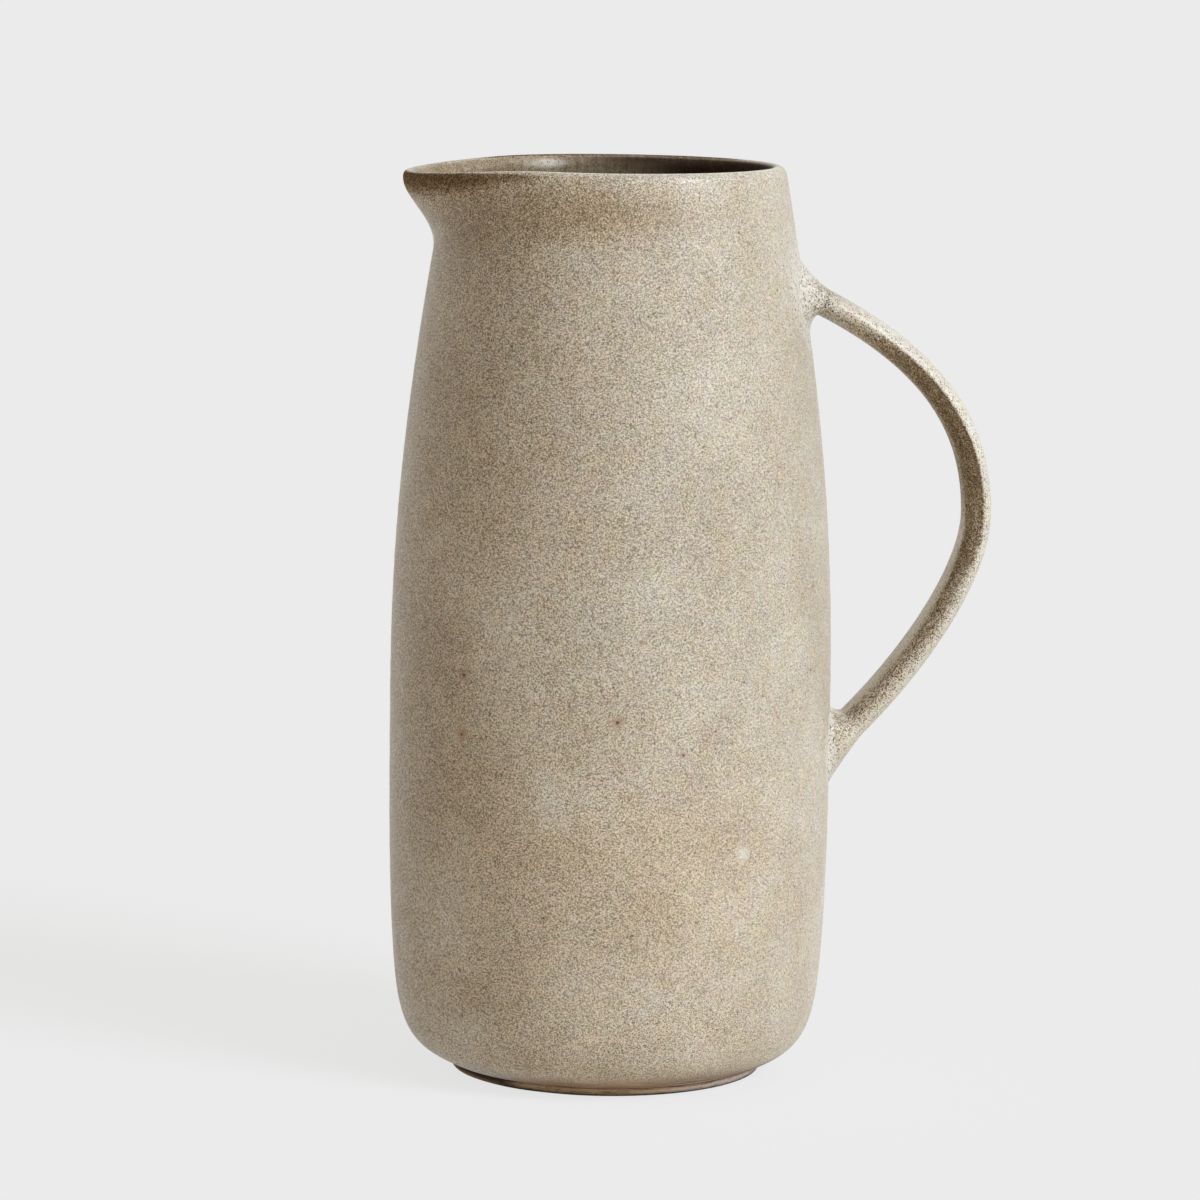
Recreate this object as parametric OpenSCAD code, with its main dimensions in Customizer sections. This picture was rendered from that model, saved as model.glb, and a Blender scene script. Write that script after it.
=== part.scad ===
// Stoneware pouring jug: a thrown pot with a pulled pouring lip, a strap handle stuck on
// at two worked joins, and a turned foot. The origin is the centre of the foot, on the
// table. The handle points along +X and the pouring lip along -X.

/* [Body] */
// Height of the rim above the table
height = 250; // [220:1:290]
// Outer diameter at the top of the side, where the rim's rounding starts
rim_d = 92.8; // [84:0.2:104]
// Outer diameter of the belly at its widest
belly_d = 121.6; // [112:0.2:132]
// Height of the widest part of the belly
belly_z = 105.5; // [95:0.5:120]
// Outer diameter where the side turns under to the foot
heel_d = 117.6; // [108:0.2:120]
// Height where the side turns under to the foot
heel_z = 25.5; // [21:0.5:32]
// Diameter of the flat base
base_d = 86.2; // [80:0.2:94]
// Thickness of the wall
wall = 4.8; // [3.8:0.1:6]
// Thickness of the floor
floor_t = 6; // [4:0.1:9]

/* [Rim and pouring lip] */
// Thickness of the rim
rim_t = 5; // [4:0.1:6.4]
// Height of the rim's rounding
rim_round = 3; // [2:0.1:4.5]
// How far the pouring lip stands out past the rim
lip_reach = 10.4; // [6:0.1:13]
// How far below the rim the pouring lip starts to bend out
lip_drop = 24; // [18:0.5:32]
// How far below the rim the rounding of the pouring lip starts
lip_edge_drop = 9; // [8:0.1:11]
// Lean of the pouring lip's edge, from upright, in degrees
lip_angle = 33; // [20:1:42]
// Thickness of the pouring lip
lip_t = 5.5; // [4.5:0.1:6.5]
// Length of the pouring lip's rounding
lip_round = 6; // [4:0.1:7]
// Half of the turn round the jug that the pouring lip is pulled from, in degrees
lip_half_turn = 60; // [42:1:75]

/* [Foot] */
// Height of the foot ring
foot_h = 2; // [1.2:0.1:3.5]
// Outer diameter of the foot ring
foot_d = 85.4; // [72:0.2:86]
// Width of the foot ring
foot_w = 6.5; // [4:0.1:10]
// Bevel on the foot ring's edges
foot_bevel = 0.6; // [0.2:0.1:1]

/* [Handle] */
// How far the outside of the handle stands from the jug's axis
handle_reach = 104.6; // [96:0.2:114]
// Height of the handle's furthest point
handle_mid_z = 154; // [142:1:164]
// How far below the rim the handle's upper end meets the wall
handle_top_drop = 35; // [31:0.5:46]
// Height at which the handle's lower end meets the wall
handle_low_z = 90; // [78:0.5:98]
// Slope of the handle at its upper end, in degrees below level
handle_top_angle = 25; // [15:1:35]
// Slope of the handle at its lower end, in degrees from level
handle_low_angle = 42; // [34:1:50]
// Width of the strap at its upper end
strap_w_top = 20; // [16:0.5:24]
// Width of the strap at the middle
strap_w_mid = 17; // [14:0.5:22]
// Width of the strap at its lower end
strap_w_low = 18; // [15:0.5:23]
// Thickness of the strap at its upper end
strap_t_top = 7.6; // [6:0.1:9]
// Thickness of the strap at the middle
strap_t_mid = 7.8; // [6:0.1:9]
// Thickness of the strap at its lower end
strap_t_low = 8; // [6:0.1:9]
// Size of the fillet of clay worked round the handle's upper end
upper_join_size = 6; // [3:0.1:8]
// Size of the fillet of clay worked round the handle's lower end
lower_join_size = 5; // [3:0.1:7]
// How far that clay runs out along the strap
lower_join_run = 9; // [5:0.1:11]
// Fullness of the clay worked round the upper end: 0 is a hollow fillet, 1 a straight one
upper_join_full = 0.7; // [0:0.1:1]
// Fullness of the clay worked round the lower end
lower_join_full = 1; // [0:0.1:1]
// Thickness of the slip between the wall and what is stuck on it
slip = 0.1; // [0.08:0.01:0.3]

/* [Hidden] */

// Points around the body, and the degrees by which they crowd to the pouring lip
around = 72;
crowding = 26;
// Steps along each stretch of the wall
heel_steps = 8;
lower_steps = 5;
upper_steps = 8;
neck_steps = 7;
edge_steps = 8;
// Points round the strap, which the mirrored sides of its section need in fours
strap_around = 24;
strap_steps = 15;
fillet_steps = 4;
// Squareness of the strap's section: 2 is an ellipse
strap_power = 2.6;

// How far the side leans in at the rim and at the heel, per length up
rim_lean = 0.178;
heel_lean = 0.1;
// Slope at which the heel meets the base, in degrees
base_angle = 24;
// Pull of each curve's two ends, as shares of the curve's height or width
upper_pull_shares = [0.318, 0.425];
lower_pull_shares = [0.26, 0.38];
heel_pull_shares = [0.58, 0.78];
lip_pull_shares = [0.36, 0.36];
inner_heel_pull_shares = [0.5, 0.62];
// Pull of the handle's curves, as shares of the distance between their ends
strap_top_pull_shares = [0.541, 0.29];
strap_low_pull_shares = [0.221, 0.389];

rim_r = rim_d / 2;
belly_r = belly_d / 2;
heel_r = heel_d / 2;
base_r = base_d / 2;
floor_z = foot_h + floor_t;

// A cubic curve's point, its direction, and the point a wall's thickness inside it
function curve_at(c, t) = pow(1 - t, 3) * c[0] + 3 * pow(1 - t, 2) * t * c[1]
    + 3 * (1 - t) * t * t * c[2] + pow(t, 3) * c[3];
function curve_slope(c, t) = pow(1 - t, 2) * (c[1] - c[0]) + 2 * (1 - t) * t * (c[2] - c[1])
    + t * t * (c[3] - c[2]);
function unit(v) = v / norm(v);
function inward(v) = [-v[1], v[0]];
function inside(c, t, thick) = curve_at(c, t) + thick * inward(unit(curve_slope(c, t)));
function leaning(angle) = [sin(angle), cos(angle)];

// The rounded top of a wall that rises along way: its turn and its rise at its highest point
function top_turn(way, thick, tall) = atan2(tall * way[1], -thick / 2 * inward(way)[1]);
function top_rise(way, thick, tall) = thick / 2 * inward(way)[1]
    + norm([tall * way[1], thick / 2 * inward(way)[1]]);

// The height where the rim's rounding starts, so that its highest point is the jug's height
edge_z = height - top_rise(unit([-rim_lean, 1]), rim_t, rim_round);

// The wall's outside, from the base up, as radius and height
heel_h = heel_z - foot_h;
heel_curve = [
    [base_r, foot_h],
    [base_r, foot_h] + heel_pull_shares[0] * (heel_r - base_r) * [cos(base_angle), sin(base_angle)],
    [heel_r, heel_z] - heel_pull_shares[1] * heel_h * [heel_lean, 1],
    [heel_r, heel_z]];
lower_h = belly_z - heel_z;
lower_curve = [
    [heel_r, heel_z],
    [heel_r, heel_z] + lower_pull_shares[0] * lower_h * [heel_lean, 1],
    [belly_r, belly_z - lower_pull_shares[1] * lower_h],
    [belly_r, belly_z]];
upper_h = edge_z - belly_z;
upper_curve = [
    [belly_r, belly_z],
    [belly_r, belly_z + upper_pull_shares[0] * upper_h],
    [rim_r, edge_z] + upper_pull_shares[1] * upper_h * [rim_lean, -1],
    [rim_r, edge_z]];

// Where a rising curve reaches a height
function rise_to(c, z, low = 0, high = 1, tries = 30) = tries == 0 ? (low + high) / 2
    : curve_at(c, (low + high) / 2)[1] < z ? rise_to(c, z, (low + high) / 2, high, tries - 1)
    : rise_to(c, z, low, (low + high) / 2, tries - 1);

// The pouring lip's own outside, in the jug's plane, from its throat to its edge
throat_t = rise_to(upper_curve, height - lip_drop);
throat = curve_at(upper_curve, throat_t);
throat_way = unit(curve_slope(upper_curve, throat_t));
lip_edge = [rim_r + lip_reach, height - lip_edge_drop];
lip_run = norm(lip_edge - throat);
lip_curve = [
    throat,
    throat + lip_pull_shares[0] * lip_run * throat_way,
    lip_edge - lip_pull_shares[1] * lip_run * leaning(lip_angle),
    lip_edge];

// The rounded top of a wall, from its outside at 0 over its highest point at 0.5 to its inside at 1
function rounding(c, thick, tall, t) = let (
    way = unit(curve_slope(c, 1)),
    top = top_turn(way, thick, tall),
    turn = t < 0.5 ? 2 * t * top : top + (2 * t - 1) * (180 - top))
    curve_at(c, 1) + thick / 2 * (1 - cos(turn)) * inward(way) + tall * sin(turn) * way;

// The inside of the heel, down to the floor
heel_inside = inside(lower_curve, 0, wall);
heel_inside_h = heel_inside[1] - floor_z;
inner_heel_curve = [
    heel_inside,
    heel_inside - inner_heel_pull_shares[1] * heel_inside_h * unit(curve_slope(lower_curve, 0)),
    [base_r - wall + inner_heel_pull_shares[0] * (heel_inside[0] - base_r + wall), floor_z],
    [base_r - wall, floor_z]];

// The whole section, as pairs: its point away from the pouring lip, and its point there
function same(p) = [p, p];
function thickening(from, to, t) = from + (to - from) * t;
section = concat(
    [for (i = [0:heel_steps - 1]) same(curve_at(heel_curve, i / heel_steps))],
    [for (i = [0:lower_steps - 1]) same(curve_at(lower_curve, i / lower_steps))],
    [for (i = [0:upper_steps - 1]) same(curve_at(upper_curve, throat_t * i / upper_steps))],
    [for (i = [0:neck_steps - 1]) let (t = i / neck_steps)
        [curve_at(upper_curve, throat_t + (1 - throat_t) * t), curve_at(lip_curve, t)]],
    [for (i = [0:edge_steps]) let (t = i / edge_steps)
        [rounding(upper_curve, rim_t, rim_round, t), rounding(lip_curve, lip_t, lip_round, t)]],
    [for (i = [neck_steps - 1:-1:1]) let (t = i / neck_steps)
        [inside(upper_curve, throat_t + (1 - throat_t) * t, thickening(wall, rim_t, t)),
         inside(lip_curve, t, thickening(wall, lip_t, t))]],
    [for (i = [upper_steps:-1:1]) same(inside(upper_curve, throat_t * i / upper_steps, wall))],
    [for (i = [lower_steps:-1:1]) same(inside(lower_curve, i / lower_steps, wall))],
    [for (i = [0:heel_steps]) same(curve_at(inner_heel_curve, i / heel_steps))]);

// How much of the pouring lip's section shows at an angle from its middle
function lip_share(a) = abs(a) >= lip_half_turn ? 0 : (1 + cos(180 * a / lip_half_turn)) / 2;
function lip_way(i) = let (a = 360 * i / around - 180) a - crowding * sin(a);
function wall_ring(pair) = [for (i = [0:around - 1]) let (
    a = lip_way(i),
    p = pair[0] + lip_share(a) * (pair[1] - pair[0]))
    [-p[0] * cos(a), -p[0] * sin(a), p[1]]];

// Triangles between two rings of n points, and the cap that closes a ring to a point
function between(n, a, b) = [for (i = [0:n - 1]) let (j = (i + 1) % n)
    each [[a + i, a + j, b + j], [a + i, b + j, b + i]]];
function cap(n, a, point) = [for (i = [0:n - 1]) [point, a + (i + 1) % n, a + i]];
function cap_back(n, a, point) = [for (i = [0:n - 1]) [point, a + i, a + (i + 1) % n]];
function reversed(faces) = [for (f = faces) [f[0], f[2], f[1]]];

module body() {
    rings = len(section);
    points = concat(
        [for (pair = section) each wall_ring(pair)],
        [[0, 0, foot_h], [0, 0, floor_z]]);
    faces = concat(
        [for (k = [0:rings - 2]) each between(around, around * k, around * (k + 1))],
        cap(around, 0, around * rings),
        cap_back(around, around * (rings - 1), around * rings + 1));
    color("#b3a68d") polyhedron(points, reversed(faces));
}

// The wall's outer radius at a height: that of its curve or, where the curve is hollow, of its facets
outer_count = heel_steps + lower_steps + upper_steps + neck_steps + 1;
outer_facets = [for (k = [0:outer_count - 1]) [section[k][0][1], section[k][0][0]]];
function curve_r(z) = z > belly_z ? curve_at(upper_curve, rise_to(upper_curve, z))[0]
    : curve_at(lower_curve, rise_to(lower_curve, z))[0];
// The same past the slip, and the point there at a sideways place
function wall_r(z) = max(curve_r(z), lookup(z, outer_facets)) + slip;
function on_wall(y, z) = [sqrt(pow(wall_r(z), 2) - y * y), y, z];

// The strap's middle line: one curve from the upper end, one down to the lower end
handle_top_z = height - handle_top_drop;
strap_far = [handle_reach - strap_t_mid / 2, handle_mid_z];
strap_top_end = [wall_r(handle_top_z), handle_top_z];
strap_low_end = [wall_r(handle_low_z), handle_low_z];
top_run = norm(strap_far - strap_top_end);
low_run = norm(strap_far - strap_low_end);
top_pull = strap_top_pull_shares[0] * top_run;
low_pull = strap_low_pull_shares[1] * low_run;
strap_top_curve = [
    strap_top_end,
    strap_top_end + top_pull * [cos(handle_top_angle), -sin(handle_top_angle)],
    strap_far + [0, strap_top_pull_shares[1] * top_run],
    strap_far];
strap_low_curve = [
    strap_far,
    strap_far - [0, strap_low_pull_shares[0] * low_run],
    strap_low_end + low_pull * [cos(handle_low_angle), sin(handle_low_angle)],
    strap_low_end];

// A point of the strap's rounded section, for a width and a thickness of 1
function squared(v) = sign(v) * pow(abs(v), 2 / strap_power);
function strap_unit(i) = let (a = 360 * (i + 0.5) / strap_around)
    [squared(cos(a)) / 2, squared(sin(a)) / 2];
function blend_size(from, to, t) = from + (to - from) * (1 - cos(180 * t)) / 2;

// A ring of the strap square to its middle line
function strap_ring(c, t, w, thick) = let (
    p = curve_at(c, t),
    way = unit(curve_slope(c, t)))
    [for (i = [0:strap_around - 1]) let (u = strap_unit(i))
        [p[0] - way[1] * thick * u[1], w * u[0], p[1] + way[0] * thick * u[1]]];

// The strap's print on the wall at each end, grown by the width of the fillet round it
function wall_print(z, w, tall, grow) = [for (i = [0:strap_around - 1]) let (u = strap_unit(i))
    on_wall((w + 2 * grow) * u[0], z + (tall + 2 * grow * sign(tall)) * u[1])];
function top_wall(grow) = wall_print(handle_top_z, strap_w_top, strap_t_top / cos(handle_top_angle), grow);
function low_wall(grow) = wall_print(handle_low_z, strap_w_low, -strap_t_low / cos(handle_low_angle), grow);

// Where the strap comes out of each join, along its curves
top_out_t = upper_join_size / (3 * top_pull);
low_out_t = 1 - lower_join_run / (3 * low_pull);

function top_ring(t) = strap_ring(strap_top_curve, t,
    blend_size(strap_w_top, strap_w_mid, t), blend_size(strap_t_top, strap_t_mid, t));
function low_ring(t) = strap_ring(strap_low_curve, t,
    blend_size(strap_w_mid, strap_w_low, t), blend_size(strap_t_mid, strap_t_low, t));

strap_rings = concat(
    [top_wall(0)],
    [for (i = [0:strap_steps - 1]) top_ring(top_out_t + (1 - top_out_t) * i / strap_steps)],
    [for (i = [0:strap_steps]) low_ring(low_out_t * i / strap_steps)],
    [low_wall(0)]);

// The strap's end follows the round wall, in bands across its section
function end_faces(a) = [for (i = [0:strap_around / 2 - 2]) let (across = a + strap_around - 1 - i)
    each [[a + i, a + i + 1, across - 1], [a + i, across - 1, across]]];

module handle() {
    rings = len(strap_rings);
    faces = concat(
        [for (k = [0:rings - 2]) each between(strap_around, strap_around * k, strap_around * (k + 1))],
        reversed(end_faces(0)),
        end_faces(strap_around * (rings - 1)));
    color("#a89a80") polyhedron([for (ring = strap_rings) each ring], reversed(faces));
}

// A collar of clay: the strap's own sides inside, the wall behind, a fillet outside
function fillet_ring(out, print, grown, full, t) = [for (i = [0:strap_around - 1]) let (
    corner = print[i] + full * ((out[i] + grown[i]) / 2 - print[i]))
    pow(1 - t, 2) * out[i] + 2 * (1 - t) * t * corner + t * t * grown[i]];

// Its rings follow the strap's order, so that the two share the same triangles where they touch
module join(out, print, grown, full, at_top) {
    fillet = [for (k = [0:fillet_steps]) fillet_ring(out, print, grown, full, k / fillet_steps)];
    rings = at_top ? concat([print], fillet)
        : concat([for (k = [fillet_steps:-1:0]) fillet[k]], [print]);
    count = len(rings);
    faces = [for (k = [0:count - 1])
        each between(strap_around, strap_around * k, strap_around * ((k + 1) % count))];
    color("#c9c0aa") polyhedron([for (ring = rings) each ring], faces);
}

module upper_join() {
    join(top_ring(top_out_t), top_wall(0), top_wall(upper_join_size), upper_join_full, true);
}

module lower_join() {
    join(low_ring(low_out_t), low_wall(0), low_wall(lower_join_size), lower_join_full, false);
}

module foot_ring() {
    outer = foot_d / 2;
    inner = outer - foot_w;
    color("#5a4636") rotate_extrude() polygon([
        [inner, foot_h],
        [inner, foot_bevel],
        [inner + foot_bevel, 0],
        [outer - foot_bevel, 0],
        [outer, foot_bevel],
        [outer, foot_h]]);
}

body();
handle();
upper_join();
lower_join();
foot_ring();
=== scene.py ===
import math
from functools import reduce

import bpy
import numpy as np
from mathutils import Matrix, Vector


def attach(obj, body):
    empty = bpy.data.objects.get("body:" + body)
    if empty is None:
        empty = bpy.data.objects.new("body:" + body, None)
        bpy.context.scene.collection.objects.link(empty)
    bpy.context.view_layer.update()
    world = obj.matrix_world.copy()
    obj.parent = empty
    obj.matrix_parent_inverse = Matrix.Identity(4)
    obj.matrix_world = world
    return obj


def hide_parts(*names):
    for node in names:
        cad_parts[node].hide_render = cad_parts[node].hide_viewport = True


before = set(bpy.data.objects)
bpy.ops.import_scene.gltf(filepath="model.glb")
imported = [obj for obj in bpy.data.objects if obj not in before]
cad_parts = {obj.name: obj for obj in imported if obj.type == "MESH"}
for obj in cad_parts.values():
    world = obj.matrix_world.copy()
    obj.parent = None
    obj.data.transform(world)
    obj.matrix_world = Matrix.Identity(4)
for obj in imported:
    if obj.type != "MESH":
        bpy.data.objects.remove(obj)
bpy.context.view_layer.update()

# Sizes of the jug, in millimetres, as in the part
HEIGHT = 250.0
RIM_R, BELLY_R, HEEL_R, BASE_R = 46.4, 60.8, 58.8, 43.1
BELLY_Z, HEEL_Z, FOOT_H = 105.5, 25.5, 2.0
WALL, FLOOR_T = 4.8, 6.0
RIM_T, RIM_ROUND, RIM_LEAN, HEEL_LEAN, BASE_ANGLE = 5.0, 3.0, 0.178, 0.1, 24.0
LIP_REACH, LIP_DROP, LIP_EDGE_DROP, LIP_ANGLE = 10.4, 24.0, 9.0, 33.0
LIP_T, LIP_ROUND, LIP_HALF_TURN = 5.5, 6.0, 60.0
FOOT_R, FOOT_W, FOOT_BEVEL = 42.7, 6.5, 0.6
HANDLE_REACH, HANDLE_MID_Z, HANDLE_TOP_DROP, HANDLE_LOW_Z = 104.6, 154.0, 35.0, 90.0
HANDLE_TOP_ANGLE, HANDLE_LOW_ANGLE = 25.0, 42.0
STRAP_W = (20.0, 17.0, 18.0)
STRAP_T = (7.6, 7.8, 8.0)
JOIN_SIZE = (6.0, 5.0)
JOIN_RUN = (6.0, 9.0)
SLIP, STRAP_POWER = 0.1, 2.6
UPPER_PULL, LOWER_PULL, HEEL_PULL = (0.318, 0.425), (0.26, 0.38), (0.58, 0.78)
LIP_PULL, INNER_HEEL_PULL = (0.36, 0.36), (0.5, 0.62)
TOP_PULL, LOW_PULL = (0.541, 0.29), (0.221, 0.389)
MM = 0.001

# Steps of the finer meshes made here
AROUND, STRAP_AROUND = 200, 96
HEEL_STEPS, LOWER_STEPS, UPPER_STEPS, LIP_STEPS, RIM_STEPS = 44, 20, 34, 18, 24
INNER_UPPER_STEPS, INNER_LOWER_STEPS, INNER_HEEL_STEPS, UNDER_STEPS = 26, 16, 16, 25
STRAP_STEPS, JOIN_STEPS, BEVEL_STEPS, TREAD_STEPS = 46, 20, 8, 11
HEEL_CROWDING = 1.7


def cubic(c, t):
    t = np.atleast_1d(np.asarray(t, float))[:, None]
    return (1 - t) ** 3 * c[0] + 3 * (1 - t) ** 2 * t * c[1] + 3 * (1 - t) * t * t * c[2] + t ** 3 * c[3]


def cubic_way(c, t):
    t = np.atleast_1d(np.asarray(t, float))[:, None]
    d = (1 - t) ** 2 * (c[1] - c[0]) + 2 * (1 - t) * t * (c[2] - c[1]) + t * t * (c[3] - c[2])
    return d / np.linalg.norm(d, axis=1)[:, None]


def inward(way):
    return np.stack([-way[..., 1], way[..., 0]], axis=-1)


def inside(c, t, thick):
    return cubic(c, t) + np.reshape(thick, (-1, 1)) * inward(cubic_way(c, t))


def curve(*points):
    return np.array(points, float)


def leaning(degrees):
    return np.array([math.sin(math.radians(degrees)), math.cos(math.radians(degrees))])


def level(degrees):
    return np.array([math.cos(math.radians(degrees)), math.sin(math.radians(degrees))])


def top_turn(way, thick, tall):
    return math.atan2(tall * way[1], -thick / 2 * inward(way)[1])


def top_rise(way, thick, tall):
    side = thick / 2 * inward(way)[1]
    return side + math.hypot(tall * way[1], side)


def rounding(c, thick, tall, t):
    """The rounded top of a wall, from its outside at 0 over its highest point to its inside at 1."""
    way = cubic_way(c, 1)[0]
    top = top_turn(way, thick, tall)
    turn = np.where(t < 0.5, 2 * t * top, top + (2 * t - 1) * (math.pi - top))[:, None]
    return c[3] + thick / 2 * (1 - np.cos(turn)) * inward(way) + tall * np.sin(turn) * way


def rise_to(c, z):
    """Where each rising curve parameter reaches each height."""
    z = np.atleast_1d(np.asarray(z, float))
    low, high = np.zeros_like(z), np.ones_like(z)
    for _ in range(30):
        mid = (low + high) / 2
        below = cubic(c, mid)[:, 1] < z
        low, high = np.where(below, mid, low), np.where(below, high, mid)
    return (low + high) / 2


rim_way = np.array([-RIM_LEAN, 1.0])
rim_way /= np.linalg.norm(rim_way)
EDGE_Z = HEIGHT - top_rise(rim_way, RIM_T, RIM_ROUND)
FLOOR_Z = FOOT_H + FLOOR_T
heel_curve = curve(
    (BASE_R, FOOT_H),
    (BASE_R, FOOT_H) + HEEL_PULL[0] * (HEEL_R - BASE_R) * level(BASE_ANGLE),
    np.array((HEEL_R, HEEL_Z)) - HEEL_PULL[1] * (HEEL_Z - FOOT_H) * np.array((HEEL_LEAN, 1)),
    (HEEL_R, HEEL_Z),
)
lower_curve = curve(
    (HEEL_R, HEEL_Z),
    np.array((HEEL_R, HEEL_Z)) + LOWER_PULL[0] * (BELLY_Z - HEEL_Z) * np.array((HEEL_LEAN, 1)),
    (BELLY_R, BELLY_Z - LOWER_PULL[1] * (BELLY_Z - HEEL_Z)),
    (BELLY_R, BELLY_Z),
)
upper_curve = curve(
    (BELLY_R, BELLY_Z),
    (BELLY_R, BELLY_Z + UPPER_PULL[0] * (EDGE_Z - BELLY_Z)),
    np.array((RIM_R, EDGE_Z)) + UPPER_PULL[1] * (EDGE_Z - BELLY_Z) * np.array((RIM_LEAN, -1)),
    (RIM_R, EDGE_Z),
)
THROAT_T = rise_to(upper_curve, HEIGHT - LIP_DROP)[0]
throat = cubic(upper_curve, THROAT_T)[0]
throat_way = cubic_way(upper_curve, THROAT_T)[0]
lip_edge = np.array((RIM_R + LIP_REACH, HEIGHT - LIP_EDGE_DROP))
lip_run = np.linalg.norm(lip_edge - throat)
lip_curve = curve(
    throat,
    throat + LIP_PULL[0] * lip_run * throat_way,
    lip_edge - LIP_PULL[1] * lip_run * leaning(LIP_ANGLE),
    lip_edge,
)
heel_inside = inside(lower_curve, 0, WALL)[0]
inner_heel_curve = curve(
    heel_inside,
    heel_inside - INNER_HEEL_PULL[1] * (heel_inside[1] - FLOOR_Z) * cubic_way(lower_curve, 0)[0],
    (BASE_R - WALL + INNER_HEEL_PULL[0] * (heel_inside[0] - BASE_R + WALL), FLOOR_Z),
    (BASE_R - WALL, FLOOR_Z),
)


def along(a, b, steps, crowding=1.0):
    """Places from a up to b, but not b itself, closer together near a when crowding is above 1."""
    return a + (b - a) * (np.arange(steps) / steps) ** crowding


def wall_section():
    """The wall's outside, rim and inside as (radius, height) points, plain ones and those at the pouring lip.

    The third array is the share of the way over the rim: 0 outside, 1 inside."""
    plain, lip, over = [], [], []

    def add(points, at_lip, share):
        plain.append(points)
        lip.append(points if at_lip is None else at_lip)
        over.append(np.broadcast_to(share, len(points)))

    add(cubic(heel_curve, along(0, 1, HEEL_STEPS, HEEL_CROWDING)), None, 0.0)
    add(cubic(lower_curve, along(0, 1, LOWER_STEPS)), None, 0.0)
    add(cubic(upper_curve, along(0, THROAT_T, UPPER_STEPS)), None, 0.0)
    t = along(0, 1, LIP_STEPS)
    add(cubic(upper_curve, THROAT_T + (1 - THROAT_T) * t), cubic(lip_curve, t), 0.0)
    t = np.arange(RIM_STEPS + 1) / RIM_STEPS
    add(rounding(upper_curve, RIM_T, RIM_ROUND, t), rounding(lip_curve, LIP_T, LIP_ROUND, t), t)
    t = along(0, 1, LIP_STEPS)[:0:-1]
    add(
        inside(upper_curve, THROAT_T + (1 - THROAT_T) * t, WALL + (RIM_T - WALL) * t),
        inside(lip_curve, t, WALL + (LIP_T - WALL) * t),
        1.0,
    )
    add(inside(upper_curve, along(THROAT_T, 0, INNER_UPPER_STEPS), WALL), None, 1.0)
    add(inside(lower_curve, along(1, 0, INNER_LOWER_STEPS), WALL), None, 1.0)
    add(cubic(inner_heel_curve, np.arange(INNER_HEEL_STEPS + 1) / INNER_HEEL_STEPS), None, 1.0)
    return np.concatenate(plain), np.concatenate(lip), np.concatenate(over)


def lip_share(angle):
    """How much of the pouring lip's section shows at an angle from its middle, in radians."""
    half = math.radians(LIP_HALF_TURN)
    return np.where(np.abs(angle) >= half, 0.0, (1 + np.cos(math.pi * angle / half)) / 2)


def mesh_object(name, points, faces, values, material):
    """A smooth mesh in metres from points in millimetres, with named values at its points."""
    mesh = bpy.data.meshes.new(name)
    mesh.from_pydata((np.asarray(points) * MM).tolist(), [], faces)
    mesh.polygons.foreach_set("use_smooth", [True] * len(mesh.polygons))
    for key, numbers in values.items():
        data = mesh.attributes.new(key, "FLOAT", "POINT").data
        data.foreach_set("value", np.ascontiguousarray(numbers, np.float32))
    mesh.materials.append(material)
    mesh.update()
    piece = bpy.data.objects.new(name, mesh)
    bpy.context.scene.collection.objects.link(piece)
    return piece


# Hand-made unevenness, the same in every run

def waves(angle, seed, count=7, first=1):
    """A smooth closed line round the jug, about -1 to 1, from a few sine waves."""
    rng = np.random.default_rng(seed)
    total = np.zeros_like(angle)
    for n in range(first, first + count):
        total += rng.normal() * np.sin(n * angle + rng.uniform(0, 2 * math.pi)) / n ** 0.6
    return total / 2.2


def soften(edge0, edge1, value):
    t = np.clip((value - edge0) / (edge1 - edge0), 0, 1)
    return t * t * (3 - 2 * t)


def bell(middle, width, value):
    """1 at the middle, falling to about a third at the width on each side."""
    return np.exp(-(((value - middle) / width) ** 2))


def follow(value, *steps):
    """A line through steps of place and amount."""
    return np.interp(value, *zip(*steps))


# Azimuth: 0 is the side toward -Y, 90 the handle's side, -90 the pouring lip's
# Name: azimuth, height, half width, half height in mm, how much darker, how much warmer
BLOTCHES = {
    # under_lip: brown glaze under the lip, darkened further as painted shade under its overhang
    "under_lip": (-54, 236, 24, 13, 0.75, -0.1),
    "near_rim": (-11, 239, 12, 6, 0.75, 0.9),
    "near_rim_right": (12, 240, 14, 6, 0.55, 0.35),
    "low_right": (17, 68, 22, 22, 0.3, 0.45),
    "low_middle": (-19, 70, 15, 7, 0.25, 0.45),
    "low_all": (0, 55, 60, 42, -0.12, 0.4),
    "pale_left": (-39, 128, 13, 18, -0.45, -0.3),
    "pale_spot": (-20, 83, 6, 8, -0.45, -0.2),
    "pale_low_left": (-50, 50, 12, 16, -0.45, -0.4),
    "pale_heel": (-45, 17, 9, 7, -0.35, -0.5),
    "pale_middle": (2, 138, 13, 9, -0.35, -0.2),
    "cool_middle": (-11, 131, 6, 8, -0.1, -0.5),
    "cool_high": (-36, 205, 16, 18, 0.15, -0.35),
    "heel_break": (20, 4.5, 34, 3.5, 0.7, 0.9),
    "back_warm": (150, 150, 34, 30, 0.35, 0.4),
    "back_pale": (-150, 110, 26, 34, -0.35, -0.4),
    "back_low": (175, 48, 30, 22, 0.4, 0.5),
    "side_dark": (120, 60, 20, 26, 0.35, 0.3),
    # left_side: the shaded left side drawn darker and browner, as painted shade
    "left_side": (-50, 125, 40, 130, 0.35, 0.3),
    # Brown glaze under the lip's right end, darkened further as painted shade
    "under_lip_right": (-30, 238, 14, 7, 0.65, 0.25),
    "right_side": (45, 140, 34, 110, 0.12, -0.1),
}


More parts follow.
